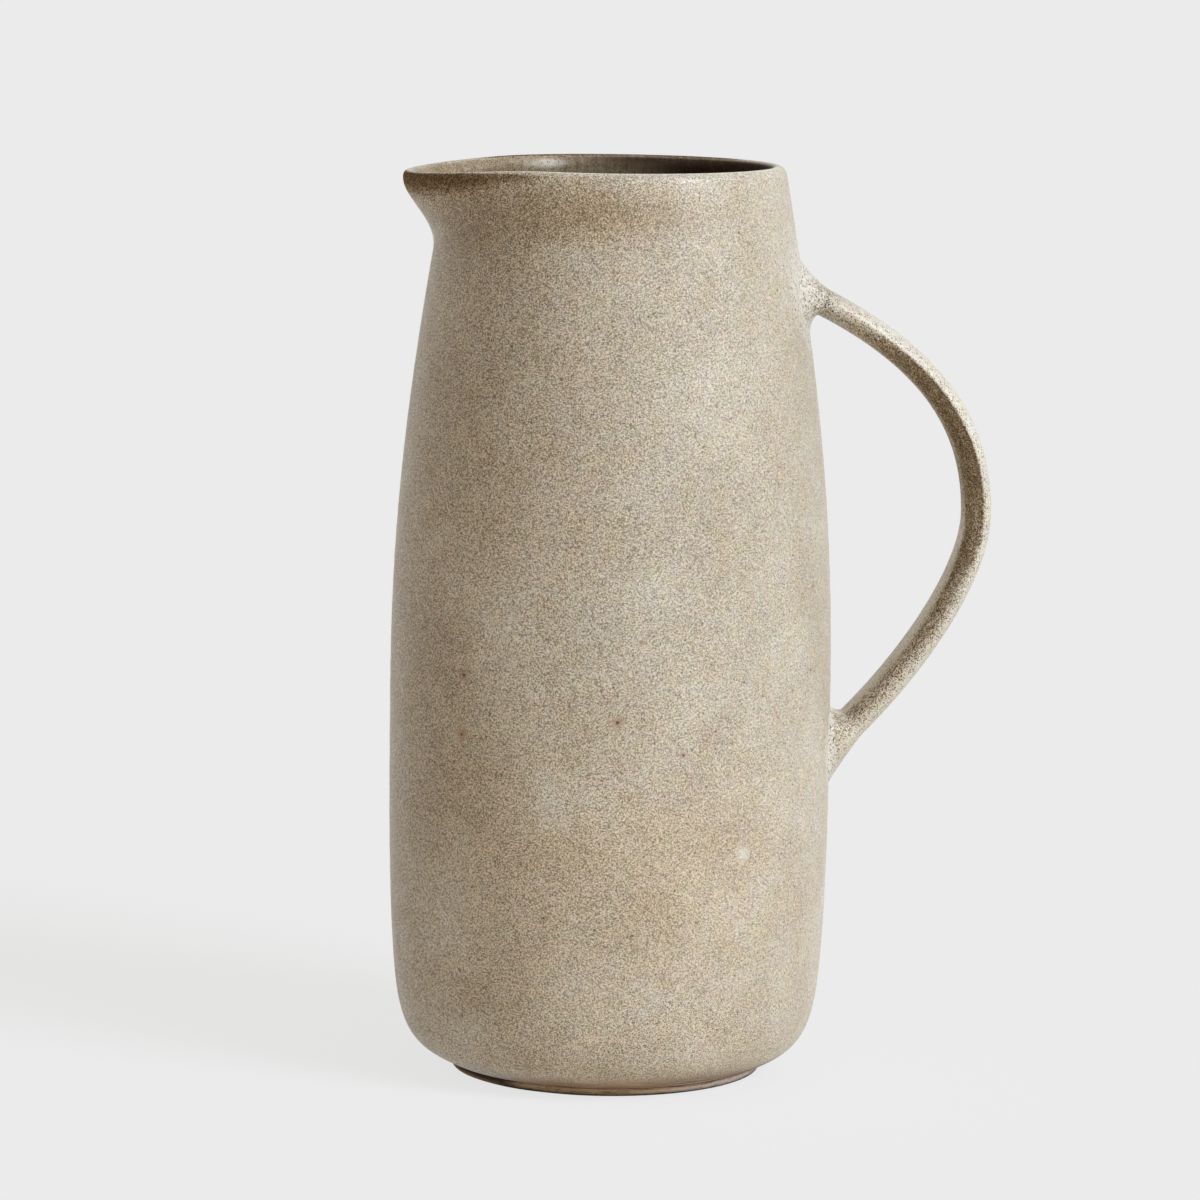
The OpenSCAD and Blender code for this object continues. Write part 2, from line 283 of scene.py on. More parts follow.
def blotches(points):
    """How much darker and how much warmer each point of the jug is drawn: the glaze's own tone, with painted
    shade under the lip and on the shaded left.
    """
    x, y, z = np.asarray(points, float).T
    turn = np.arctan2(x, -y)
    deep, warm = np.zeros_like(z), np.zeros_like(z)
    for azimuth, height, half_w, half_h, darker, warmer in BLOTCHES.values():
        off = (turn - math.radians(azimuth) + math.pi) % (2 * math.pi) - math.pi
        share = np.exp(-((off * BELLY_R / half_w) ** 2 + ((z - height) / half_h) ** 2))
        deep += darker * share
        warm += warmer * share
    return deep, warm


def wall_radius(z):
    z = np.atleast_1d(z)
    high = cubic(upper_curve, rise_to(upper_curve, z))[:, 0]
    low = cubic(lower_curve, rise_to(lower_curve, z))[:, 0]
    return np.where(z > BELLY_Z, high, low)


# Where the glaze pooled on the wall round the joins: height, half width, half height, fade in mm
POOLS = ((HEIGHT - HANDLE_TOP_DROP, 16, 12, 14), (HANDLE_LOW_Z, 14, 11, 10))


def join_places(points):
    """How near each point is to the worked joins, 1 on them, falling to 0 some way off."""
    x, y, z = np.asarray(points, float).T
    pool = np.zeros_like(z)
    for height, half_w, half_h, fade in POOLS:
        across = np.hypot(y / half_w, (z - height) / half_h)
        reach = soften(1 + fade / 12, 0.8, across)
        pool = np.maximum(pool, np.where(x > 0, reach, 0))
    return pool


# Body: one lathe-like sheet, pulled out at the lip, with its bare underside

def glaze_line(angle):
    """How far up the heel from its corner the glaze stops, in millimetres along the clay.

    The azimuth is as named above. To the right of the front the glaze was wiped off higher."""
    wiped = bell(math.radians(38), math.radians(26), angle)
    return 0.9 + 2.2 * wiped + 0.25 * waves(angle, 11, 9, 2) + 0.12 * waves(angle, 12, 14, 9)


def scuffed(turn, length):
    """How far the thin glaze above the foot was scuffed brown and grey, most on the right of the front."""
    most = 0.85 + 0.15 * soften(0, 28, turn)
    return most * soften(-50, -20, turn) * soften(100, 78, turn) * soften(12, 4, length)


def rubbed_and_lit(turn):
    """How far the bare clay is drawn pale at an azimuth in degrees, in front and on the right: rubbed clay,
    and painted light on the lit side.
    """
    patch = soften(-48, -34, turn) * soften(175, 120, turn)
    return np.clip(patch + 0.25 * waves(np.radians(turn), 61, 6, 2), 0, 1)


def greyed(turn):
    """Where the bare and scuffed clay at the foot is grey instead of brown: on the right of the front."""
    return soften(6, 34, turn) * soften(140, 100, turn)


# How dark the inside is below the neck
INSIDE_DARK, NECK_DEPTH = 0.55, 24


def rim_marks(turn, over, from_crest):
    """Round the rim: where the glaze broke brown, where the front crest is drawn pale as painted light from
    above, and how dark the inside is drawn: dark brown glaze, darkest at the handle's side as painted shade.
    """
    ragged = 1 + 0.3 * waves(np.radians(turn), 31, 9, 3)
    back = np.maximum(soften(-124, -142, turn), soften(112, 132, turn))
    crest = 1.25 * back * ragged * bell(0.53, 0.16, over)
    lip = follow(turn, (-135, 0.0), (-105, 1.15), (-60, 1.2), (-40, 1.0), (-20, 0.75), (0, 0.3))
    start = follow(turn, (-90, 0.0), (-60, 0.3), (-40, 1.2), (-25, 2.2))
    reach = follow(turn, (-105, 14.0), (-75, 13.0), (-45, 10.0), (-25, 6.0), (-5, 3.5))
    below = soften(start, start + 1.2, from_crest) * soften(reach, 0.05 * reach, from_crest) * (over < 0.5)
    brown = np.maximum(crest, lip * (0.8 + 0.25 * ragged) * below)
    # Painted light: the front crest drawn pale, as if lit from above
    pale = soften(88, 70, turn) * soften(-66, -46, turn) * bell(0.5, 0.13, over)
    # Painted shade: the inside drawn darkest on the handle's side, over dark brown glaze
    right = soften(60, 100, turn % 360) * soften(208, 168, turn % 360)
    olive = 1 - 0.5 * soften(2, 6, from_crest) * soften(146, 176, np.abs(turn))
    return brown, pale, np.where(from_crest < NECK_DEPTH, right * olive, INSIDE_DARK)


# Values of "line" where the clay is bare and where it is glazed, far from the glaze's edge
ALL_BARE, ALL_GLAZED = 40, -200


def make_body(material):
    plain, at_lip, over = wall_section()
    under = np.linspace(0, 1, UNDER_STEPS + 1)[1:] ** 0.8 * BASE_R
    tooled = np.clip((BASE_R - 8 - under) / 6, 0, 1)
    under_z = FOOT_H + 0.12 * np.sin(under * 2 * math.pi / 2.6) * tooled
    under_points = np.stack([under, under_z], 1)[:-1]
    plain = np.concatenate([under_points, plain])
    at_lip = np.concatenate([under_points, at_lip])
    over = np.concatenate([np.zeros(len(under_points)), over])
    first = len(under_points)

    # Round the jug, closer together at the lip, as in the part
    i = 2 * math.pi * np.arange(AROUND) / AROUND - math.pi
    angle = i - math.radians(26) * np.sin(i)
    share = lip_share(angle)[None, :, None]
    section = plain[:, None, :] + share * (at_lip - plain)[:, None, :]
    azimuth = np.arctan2(-np.cos(angle), np.sin(angle))
    radius, z = section[..., 0].copy(), section[..., 1].copy()

    # Length along the clay from the base's corner, where the glaze begins
    steps = np.linalg.norm(np.diff(plain[first:], axis=0), axis=1)
    length = np.concatenate([np.full(first, -1.0), [0], np.cumsum(steps)])
    length[:first] = -np.linalg.norm(under_points - plain[first], axis=1)
    line = glaze_line(azimuth)[None, :] - length[:, None]

    # The skin of glaze ends in a rounded roll, and the whole stays inside the part's box
    way = np.gradient(section, axis=0)
    way /= np.linalg.norm(way, axis=2)[..., None]
    normal = np.stack([way[..., 1], -way[..., 0]], -1)
    skin = -0.04 - 0.22 * soften(-0.45, 0.0, line)
    skin += 0.05 * bell(-0.7, 0.5, line)
    high = np.clip(z / HEIGHT, 0, 1)
    sway = waves(azimuth, 21, 4, 2)[None, :] * 0.10 * np.sin(math.pi * high) ** 2
    rings = 0.035 * np.sin(2 * math.pi * z / 7.3 + azimuth[None, :]) * np.sin(math.pi * high)
    skin = skin + np.where(over[:, None] > 0.99, 1.6 * rings, rings) - 0.10 + sway * 0.9
    skin = np.minimum(skin, -0.03)
    skin[:first] = -0.02
    radius += skin * normal[..., 0]
    z += skin * normal[..., 1]
    ring = np.stack([-radius * np.cos(angle), -radius * np.sin(angle), z], -1)

    count = len(plain)
    points = np.concatenate([ring.reshape(-1, 3), [[0, 0, FOOT_H], [0, 0, FLOOR_Z]]])
    faces = []
    for k in range(count - 1):
        a = k * AROUND
        for n in range(AROUND):
            m = (n + 1) % AROUND
            faces.append((a + n, a + m, a + AROUND + m, a + AROUND + n))
    low, top = count * AROUND, count * AROUND + 1
    for n in range(AROUND):
        m = (n + 1) % AROUND
        faces.append((low, m, n))
        faces.append((top, (count - 1) * AROUND + n, (count - 1) * AROUND + m))

    turn = np.degrees(azimuth)[None, :]
    grid_over = np.broadcast_to(over[:, None], (count, AROUND))
    runs = np.cumsum(np.linalg.norm(np.diff(section, axis=0, prepend=section[:1]), axis=2), axis=0)
    crest = runs[np.argmin(np.abs(over - 0.5))]
    broken, pale, dark_and_shade = rim_marks(turn, grid_over, np.abs(runs - crest))
    # Painted highlight: a cream patch just inside the far rim, toward the pouring lip, carried in the pool
    # value
    painted_inside_highlight = 0.72 * bell(-156, 11, turn) * bell(3.8, 2, runs - crest) * (grid_over > 0.5)
    inner = soften(0.55, 0.75, grid_over)
    deep, warm = blotches(points)
    # The pale crest lightens the tone there: painted light
    deep = deep - 1.5 * np.concatenate([pale.ravel(), [0, 0]])
    outside = np.concatenate([(1 - inner).ravel(), [1, 0]])

    def full(grid, below, above):
        return np.concatenate([np.broadcast_to(grid, (count, AROUND)).ravel(), [below, above]])

    values = {
        "line": full(line, ALL_BARE, ALL_GLAZED),
        "thin": full(broken, 0, 0),
        "dark_and_shade": full(dark_and_shade, 0, INSIDE_DARK),
        "rub_and_light": full(rubbed_and_lit(turn) * soften(-5, -1, length[:, None]), 0, 0),
        "grey": full(greyed(turn), 0, 0),
        "scuff": full(scuffed(turn, length[:, None]), 0, 0),
        "flecks": 0.25 * join_places(points) * outside + 0.3 * (1 - outside),
        # speckled: dark specks strongest on the shaded left and weakest on the lit right, as painted shade
        "speckled": full(0.8 - 0.2 * np.sin(np.radians(turn)), 0.8, 0.8),
        "inner": full(inner, 0, 1),
        # pool: glaze pooled at the joins, plus the painted highlight inside the rim
        "pool": join_places(points) * outside + full(painted_inside_highlight, 0, 0),
        "deep": deep * outside,
        "warm": warm * outside,
    }
    return mesh_object("jug_body", points, faces, values, material)


# Handle and joins

def strap_parts():
    top_z, low_z = HEIGHT - HANDLE_TOP_DROP, HANDLE_LOW_Z
    top_end = np.array([wall_radius(top_z)[0] + SLIP, top_z])
    low_end = np.array([wall_radius(low_z)[0] + SLIP, low_z])
    far = np.array([HANDLE_REACH - STRAP_T[1] / 2, HANDLE_MID_Z])
    top_run, low_run = np.linalg.norm(far - top_end), np.linalg.norm(far - low_end)
    top_pull, low_pull = TOP_PULL[0] * top_run, LOW_PULL[1] * low_run
    down = math.radians(HANDLE_TOP_ANGLE)
    up = math.radians(HANDLE_LOW_ANGLE)
    top = curve(
        top_end,
        top_end + top_pull * np.array([math.cos(down), -math.sin(down)]),
        far + np.array([0, TOP_PULL[1] * top_run]),
        far,
    )
    low = curve(
        far,
        far - np.array([0, LOW_PULL[0] * low_run]),
        low_end + low_pull * np.array([math.cos(up), math.sin(up)]),
        low_end,
    )
    return top, low, JOIN_RUN[0] / (3 * top_pull), 1 - JOIN_RUN[1] / (3 * low_pull)


TOP_STRAP, LOW_STRAP, TOP_OUT, LOW_OUT = strap_parts()


# Along the strap: how far up and down its sides the brown band reaches, how softly it ends, how full it is
BAND_RUN = (0.0, 0.05, 0.12, 0.3, 0.6, 0.9, 1.1, 1.3, 1.5, 1.8, 1.95, 2.0)
BAND_HIGH = (-0.1, 0.0, 0.1, 0.14, 0.17, 0.28, 0.3, 0.22, 0.14, 0.1, 0.1, 0.1)
BAND_LOW = (-1.3, -1.3, -1.3, -1.3, -1.25, -1.1, -0.95, -0.9, -0.85, -0.9, -1.1, -1.2)
BAND_SOFT = (0.35, 0.35, 0.3, 0.14, 0.07, 0.12, 0.3, 0.45, 0.55, 0.6, 0.6, 0.6)
BAND_FULL = (0.3, 0.4, 0.5, 0.95, 1.15, 1.1, 0.92, 0.76, 0.68, 0.6, 0.5, 0.0)


# How much thinner and narrower than the part's strap the dressed one is, and its ridge, in mm
THINNER, NARROWER, RIDGE_RISE, RIDGE_HOLLOW = 0.08, 0.7, 0.28, 0.16


def strap_unit():
    """The strap's rounded oval section, one wide and one thick."""
    a = 2 * math.pi * (np.arange(STRAP_AROUND) + 0.5) / STRAP_AROUND
    c, s = np.cos(a), np.sin(a)
    power = 2 / STRAP_POWER
    return np.stack([np.sign(c) * np.abs(c) ** power, np.sign(s) * np.abs(s) ** power], 1) / 2


def blend_size(a, b, t):
    return a + (b - a) * (1 - math.cos(math.pi * t)) / 2


def strap_ring(c, t, w, thick, ridge=0.0, ridge_face=0.0):
    """A ring square to the strap's middle line. The ridge runs along both sides, where two glazes part."""
    p, way, u = cubic(c, t)[0], cubic_way(c, t)[0], strap_unit()
    side, face = np.abs(u[:, 0]) * 2, u[:, 1] * 2
    rise = bell(ridge_face, 0.14, face) * (side > 0.5)
    hollow = bell(ridge_face - 0.5, 0.3, face) * (side > 0.5)
    v = u[:, 1] * (thick - THINNER)
    across = u[:, 0] * (w - NARROWER + 2 * ridge * (RIDGE_RISE * rise - RIDGE_HOLLOW * hollow))
    return np.stack([p[0] - way[1] * v, across, p[1] + way[0] * v], 1)


def wall_print(z, w, tall, grow, sink):
    """The strap's section where it meets the wall, grown on every side and sunk into the wall."""
    u = strap_unit()
    height = z + (tall + 2 * grow * np.sign(tall)) * u[:, 1]
    y = (w + 2 * grow) * u[:, 0]
    r = wall_radius(height) + SLIP - sink
    return np.stack([np.sqrt(r * r - y * y), y, height], 1)


def top_wall(grow, sink=0.0):
    tall = STRAP_T[0] / math.cos(math.radians(HANDLE_TOP_ANGLE))
    return wall_print(HEIGHT - HANDLE_TOP_DROP, STRAP_W[0], tall, grow, sink)


def low_wall(grow, sink=0.0):
    tall = STRAP_T[2] / math.cos(math.radians(HANDLE_LOW_ANGLE))
    return wall_print(HANDLE_LOW_Z, STRAP_W[2], -tall, grow, sink)


def top_ring(t, ridge=0.0):
    w = blend_size(STRAP_W[0], STRAP_W[1], t)
    thick = blend_size(STRAP_T[0], STRAP_T[1], t)
    return strap_ring(TOP_STRAP, t, w, thick, ridge, np.interp(t, BAND_RUN, BAND_HIGH) + 0.1)


def low_ring(t):
    w = blend_size(STRAP_W[1], STRAP_W[2], t)
    return strap_ring(LOW_STRAP, t, w, blend_size(STRAP_T[1], STRAP_T[2], t))


def ring_faces(rings, first=0):
    faces = []
    for k in range(rings - 1):
        a = first + k * STRAP_AROUND
        for n in range(STRAP_AROUND):
            m = (n + 1) % STRAP_AROUND
            faces.append((a + m, a + n, a + STRAP_AROUND + n, a + STRAP_AROUND + m))
    return faces


def strap_values(rings, run):
    """Masks along the strap. run is 0 at the upper join, 1 at the furthest point, 2 at the lower join."""
    u = strap_unit()
    run = np.asarray(run, float)[:, None]
    side = np.abs(u[:, 0])[None, :] * 2
    face = u[:, 1][None, :] * 2
    high, low, soft, full = (np.interp(run, BAND_RUN, v) for v in (BAND_HIGH, BAND_LOW, BAND_SOFT, BAND_FULL))
    band = full * soften(high + soft, high - soft, face) * soften(low - 0.15, low + 0.15, face)
    lighter = 0.42 * soften(1.3, 0.9, run) * np.clip((high - face) / (high - low), 0, 1)
    thin = band * soften(0.1, 0.6, side) * (1 - lighter)
    thin = np.maximum(thin, 0.5 * full * soften(-0.4, -0.7, face) * soften(1.3, 0.8, run))
    thin = np.maximum(thin, 0.42 * bell(0.045, 0.03, run))
    pool = np.maximum(soften(0.13, 0.03, run + 0.05 * face), soften(1.945, 1.985, run))
    cream = soften(high, high + 0.15, face) * soften(0.05, 0.2, run) * soften(2.0, 1.85, run)
    flecks = 0.45 + 0.45 * soften(high + 0.8, high, face) * soften(low - 0.1, low + 0.3, face)
    values = {
        "line": ALL_GLAZED,
        "speckled": 0.42,
        "flecks": flecks,
        "thin": thin,
        "pool": pool,
        "deep": -0.45 * cream,
        "warm": 0.0,
    }
    return {key: np.broadcast_to(value, (len(rings), STRAP_AROUND)).ravel() for key, value in values.items()}


def make_handle(material):
    rings, run = [], []
    for k in range(STRAP_STEPS):
        t = TOP_OUT + (1 - TOP_OUT) * k / STRAP_STEPS
        rings.append(top_ring(t, soften(0.15, 0.35, t) * soften(1.0, 0.75, t)))
        run.append(t)
    for k in range(STRAP_STEPS + 1):
        t = LOW_OUT * k / STRAP_STEPS
        rings.append(low_ring(t))
        run.append(1 + t)
    rings = [top_wall(0)] + rings + [low_wall(0)]
    run = [0.0] + run + [2.0]
    points = np.concatenate(rings)
    faces = ring_faces(len(rings))
    faces.append(tuple(range(STRAP_AROUND)))
    last = (len(rings) - 1) * STRAP_AROUND
    faces.append(tuple(last + n for n in reversed(range(STRAP_AROUND))))
    return mesh_object("strap_handle", points, faces, strap_values(rings, run), material)


# How far the joins' prints are sunk into the wall, in mm
JOIN_SINK = 0.1


def make_join(name, out, print_ring, grown, at_top, material):
    """The clay worked round one end of the strap, nearly straight and eased into strap and wall."""
    ease = 0.3 if at_top else 0.14
    from_strap, from_wall = out + ease * (print_ring - out), grown + ease * (print_ring - grown)
    part = np.arange(JOIN_STEPS + 1) / JOIN_STEPS
    rings = [cubic((out, from_strap, from_wall, grown), t) for t in part]
    u = strap_unit()
    edge = np.arctan2(u[:, 1], u[:, 0])
    wobble = 1 + 0.05 * waves(edge, 41 if at_top else 42, 5, 2)
    centre = grown.mean(axis=0)
    rings[-1] = centre + (rings[-1] - centre) * np.stack([np.ones_like(edge), wobble, wobble], 1)
    r = np.hypot(rings[-1][:, 0], rings[-1][:, 1])
    want = wall_radius(rings[-1][:, 2]) - 0.16
    rings[-1][:, :2] *= (want / r)[:, None]
    run = TOP_OUT * (1 - part) if at_top else 2 - (1 - LOW_OUT) * (1 - part)
    faces = ring_faces(len(rings))
    if not at_top:
        faces = [face[::-1] for face in faces]
    return mesh_object(name, np.concatenate(rings), faces, strap_values(rings, run), material)


# How far the dressed foot's sides stay inside the part's, in mm
FOOT_SLACK = 0.02


def make_foot(material):
    """The turned foot: a low ring of bare clay with worn, rounded edges."""
    inner, outer, bevel = FOOT_R - FOOT_W + FOOT_SLACK, FOOT_R - FOOT_SLACK, FOOT_BEVEL
    quarter = math.pi / 2 * np.arange(1, BEVEL_STEPS) / BEVEL_STEPS
    profile = [(inner, FOOT_H), (inner, bevel)]
    profile += [(inner + bevel * (1 - math.cos(a)), bevel * (1 - math.sin(a))) for a in quarter]
    tread, shares = FOOT_W - 2 * bevel, np.linspace(0, 1, TREAD_STEPS + 1)
    profile += [(FOOT_R - FOOT_W + bevel + tread * share, 0.0) for share in shares]
    profile += [(outer - bevel * (1 - math.sin(a)), bevel * (1 - math.cos(a))) for a in quarter]
    profile += [(outer, bevel), (outer, (bevel + FOOT_H) / 2), (outer, FOOT_H)]
    angle = 2 * math.pi * np.arange(AROUND) / AROUND
    wear = np.clip(0.05 * (1 + waves(angle, 51, 12, 2)), 0, 0.15)
    points = []
    for r, z in profile:
        worn = z < bevel * 0.9 and abs(r - (FOOT_R - FOOT_W / 2)) > FOOT_W * 0.36
        points.append(np.stack([r * np.cos(angle), r * np.sin(angle), z + wear * worn], 1))
    faces = []
    for k in range(len(profile)):
        a, b = k * AROUND, ((k + 1) % len(profile)) * AROUND
        for n in range(AROUND):
            m = (n + 1) % AROUND
            faces.append((a + m, a + n, b + n, b + m))
    points = np.concatenate(points)
    turn = np.degrees(np.arctan2(points[:, 0], -points[:, 1]))
    tan = soften(-40, -58, turn) * soften(-150, -120, turn) * soften(1.3, 0.6, points[:, 2])
    values = {"rub_and_light": rubbed_and_lit(turn) * soften(0.45, 0.8, points[:, 2]), "tan": tan, "grey": greyed(turn)}
    return mesh_object("turned_foot", points, faces, values, material)


# Materials

class Shade:
    """Adds nodes to one material and joins them up."""

    def __init__(self, name):
        self.material = bpy.data.materials.new(name)
        self.material.use_nodes = True
        self.tree = self.material.node_tree
        self.tree.nodes.clear()
        coordinates = self.add("ShaderNodeTexCoord").outputs["Object"]
        scale = self.add("ShaderNodeVectorMath", operation="SCALE")
        self.put(scale.inputs[0], coordinates)
        scale.inputs["Scale"].default_value = 1 / MM
        self.place = scale.outputs[0]

    def add(self, kind, **settings):
        node = self.tree.nodes.new(kind)
        for key, value in settings.items():
            setattr(node, key, value)
        return node

    def put(self, socket, value):
        if isinstance(value, bpy.types.NodeSocket):
            self.tree.links.new(value, socket)
        elif isinstance(value, (tuple, list)) and len(value) == 3 and socket.type == "RGBA":
            socket.default_value = (*value, 1.0)
        else:
            socket.default_value = value

    def math(self, operation, a, b=0.0, clamp=False):
        node = self.add("ShaderNodeMath", operation=operation, use_clamp=clamp)
        self.put(node.inputs[0], a)
        self.put(node.inputs[1], b)
        return node.outputs[0]

    def plus(self, *values):
        return reduce(lambda a, b: self.math("ADD", a, b), values)

    def times(self, a, b):
        return self.math("MULTIPLY", a, b)

    def most(self, a, b):
        return self.math("MAXIMUM", a, b)

    def remap(self, value, low, high, to_low=0.0, to_high=1.0, smooth=True):
        node = self.add("ShaderNodeMapRange", interpolation_type="SMOOTHSTEP" if smooth else "LINEAR")
        for socket, number in zip(node.inputs, (value, low, high, to_low, to_high)):
            self.put(socket, number)
        return node.outputs[0]

    def spread(self, value, reach=1.0, to_low=0.0, to_high=1.0):
        """A value between -reach and reach, taken in a straight line to a new range."""
        return self.remap(value, -reach, reach, to_low, to_high, False)

    def mix(self, share, a, b, blend="MIX"):
        node = self.add("ShaderNodeMix", data_type="RGBA", blend_type=blend)
        self.put(node.inputs[0], share)
        self.put(node.inputs[6], a)
        self.put(node.inputs[7], b)
        return node.outputs[2]

    def value(self, name):
        return self.add("ShaderNodeAttribute", attribute_name=name).outputs["Fac"]

    def noise(self, size, detail=2.0, rough=0.5, shift=0.0, stretch=None, place=None):
        """Noise with features of about the size given, in millimetres."""
        node = self.add("ShaderNodeTexNoise")
        move = self.add("ShaderNodeMapping")
        self.put(move.inputs["Vector"], place or self.place)
        move.inputs["Location"].default_value = (shift, shift * 1.7, -shift)
        if stretch:
            move.inputs["Scale"].default_value = stretch
        self.put(node.inputs["Vector"], move.outputs[0])
        node.inputs["Scale"].default_value = 1 / size
        node.inputs["Detail"].default_value = detail
        node.inputs["Roughness"].default_value = rough
        return node.outputs["Fac"]

    def swing(self, reach, pattern):
        """A noise pattern that swings about 0, mostly between -reach and reach."""
        return self.remap(self.noise(*pattern), 0.3, 0.7, -reach, reach, False)

    def cells(self, size, shift=0.0):
        """Distance to the nearest of scattered points, as a share of the size, and two numbers of its own."""
        node = self.add("ShaderNodeTexVoronoi")
        move = self.add("ShaderNodeMapping")
        self.put(move.inputs["Vector"], self.place)
        move.inputs["Location"].default_value = (shift, -shift, shift * 2.3)
        self.put(node.inputs["Vector"], move.outputs[0])
        node.inputs["Scale"].default_value = 1 / size
        own = self.add("ShaderNodeSeparateColor")
        self.put(own.inputs[0], node.outputs["Color"])
        return node.outputs["Distance"], own.outputs[0], own.outputs[1]

    def dots(self, size, share, shift=0.0, core=0.30, edge=0.62):
        """Soft dots scattered about a size apart, of many strengths: the share says how many show."""
        away, own, _ = self.cells(size, shift)
        weakest = self.math("SUBTRACT", 1.0, share)
        strongest = self.math("SUBTRACT", 1.0, self.times(share, 0.5))
        return self.times(self.remap(own, weakest, strongest), self.remap(away, core, edge, 1.0, 0.0))

    def round_wall(self):
        """Places that follow the wall round, and change little up and down it."""
        part = self.add("ShaderNodeSeparateXYZ")
        self.put(part.inputs[0], self.place)
        flat = self.add("ShaderNodeCombineXYZ")
        self.put(flat.inputs[0], part.outputs[0])
        self.put(flat.inputs[1], part.outputs[1])
        way = self.add("ShaderNodeVectorMath", operation="NORMALIZE")
        self.put(way.inputs[0], flat.outputs[0])
        sized = self.add("ShaderNodeVectorMath", operation="SCALE")
        self.put(sized.inputs[0], way.outputs[0])
        sized.inputs["Scale"].default_value = RIM_R
        height = self.add("ShaderNodeCombineXYZ")
        self.put(height.inputs[2], self.times(part.outputs[2], 0.12))
        both = self.add("ShaderNodeVectorMath", operation="ADD")
        self.put(both.inputs[0], sized.outputs[0])
        self.put(both.inputs[1], height.outputs[0])
        return both.outputs[0]

    def near(self, spot, reach, core=0.0):
        """1 at a spot, falling to 0 at its reach, in millimetres."""
        node = self.add("ShaderNodeVectorMath", operation="DISTANCE")
        self.put(node.inputs[0], self.place)
        node.inputs[1].default_value = spot
        return self.remap(node.outputs["Value"], core, reach, 1.0, 0.0)

    def bump(self, height, distance, under=None):
        node = self.add("ShaderNodeBump")
        node.inputs["Strength"].default_value = 1.0
        node.inputs["Distance"].default_value = distance
        self.put(node.inputs["Height"], height)
        if under:
            self.put(node.inputs["Normal"], under)
        return node.outputs[0]

    def finish(self, colour, rough, normal, specular=0.5, coat=0.0):
        shader = self.add("ShaderNodeBsdfPrincipled")
        self.put(shader.inputs["Base Color"], colour)
        self.put(shader.inputs["Roughness"], rough)
        self.put(shader.inputs["Normal"], normal)
        self.put(shader.inputs["Specular IOR Level"], specular)
        self.put(shader.inputs["Coat Weight"], coat)
        shader.inputs["Coat Roughness"].default_value = 0.5
        out = self.add("ShaderNodeOutputMaterial")
        self.put(out.inputs[0], shader.outputs[0])
        return self.material


# Iron spots that burned through the glaze, each in the same place as on the jug: point, core, halo in mm
IRON_SPOTS = {
    "front": ((-3.2, -60.8, 105.5), 0.65, 3.2),
    "right_low": ((14.7, -59.0, 96.4), 0.5, 1.8),
    "left_low": ((-43.6, -42.5, 99.4), 0.6, 3.4),
    "left_mid": ((-43.1, -42.8, 115.5), 0.7, 2.8),
    "left_edge": ((-56.8, -21.5, 109.6), 0.5, 1.8),
    "high_middle": ((2.9, -60.6, 126.8), 0.4, 1.6),
    "right_edge_high": ((52.3, -29.8, 138.0), 0.5, 1.8),
    "right_edge": ((51.8, -31.8, 115.3), 0.45, 1.4),
    "low": ((-21.9, -56.1, 51.9), 0.4, 1.2),
}
PALE_SPOT = (31.9, -51.6, 68.4), 3.4

# Colours. Where there are two, the share that mixes them runs from the first to the second
GROUND = (0.86, 0.815, 0.725), (0.59, 0.512, 0.405)
BLUE_TO_YELLOW = (0.985, 1.0, 1.06), (1.015, 1.0, 0.86)
GREEN_TO_PINK = (0.955, 1.02, 1.0), (1.045, 0.98, 1.0)
IRON = (0.12, 0.083, 0.030), (0.165, 0.105, 0.032)
LARGE_SPECK, PINHOLE = (0.075, 0.048, 0.03), (0.05, 0.032, 0.02)
LINING = (0.50, 0.41, 0.28), (0.31, 0.22, 0.13)
# The dark lining: dark brown glaze, darkened to near black as painted shade
SHADED_DARK_LINING = (0.040, 0.023, 0.019), (0.085, 0.055, 0.035)
CREAM = (0.80, 0.77, 0.69), (0.67, 0.62, 0.52)
RUST = (0.07, 0.045, 0.022), (0.12, 0.072, 0.032)
TAN = (0.38, 0.29, 0.18), (0.27, 0.195, 0.115)
SCUFFED = (0.36, 0.235, 0.14), (0.26, 0.19, 0.15)
IRON_HALO, IRON_CORE, PALE_SPOT_COLOUR = (0.33, 0.17, 0.08), (0.03, 0.014, 0.008), (0.83, 0.81, 0.74)
GLAZE_EDGE = (0.15, 0.10, 0.07)
CLAY_DARK, CLAY, CLAY_TAN = (0.040, 0.026, 0.018), (0.11, 0.076, 0.054), (0.50, 0.33, 0.20)
# Pale clay colours brightened as painted light, for the lit side of the foot in the heel's shadow
CLAY_RUBBED_AND_LIT = (0.82, 0.65, 0.47), (0.82, 0.72, 0.64)

# Noise patterns: size in mm, detail, roughness, shift
CLOUD, MOTTLE, FINE_MOTTLE = (30, 3, 0.55, 5.0), (8, 3, 0.6, 17.0), (2.8, 3, 0.6, 29.0)
YELLOW_PATCHES, PINK_PATCHES = (5.0, 2, 0.6, 47.0), (4.0, 2, 0.6, 53.0)
RUNS, CREAM_PATCHES, TAN_PATCHES = (1.3, 3, 0.6, 5.0), (1.4, 3, 0.6, 61.0), (2.4, 2, 0.5, 67.0)
BREAK_EDGE, RAGGED_EDGE, DIMPLES = (0.9, 3, 0.7, 71.0), (1.3, 3, 0.6, 83.0), (5, 2, 0.5, 97.0)
CLAY_PATCHES, CLAY_GRAIN = (7, 3, 0.6, 3.0), (0.7, 3, 0.6, 19.0)
TURNED_CLAY, TURNED_GLAZE = (1.6, 3, 0.65, 13.0, (0.2, 0.2, 2.2)), (1.8, 3, 0.65, 23.0, (0.25, 0.25, 2.0))

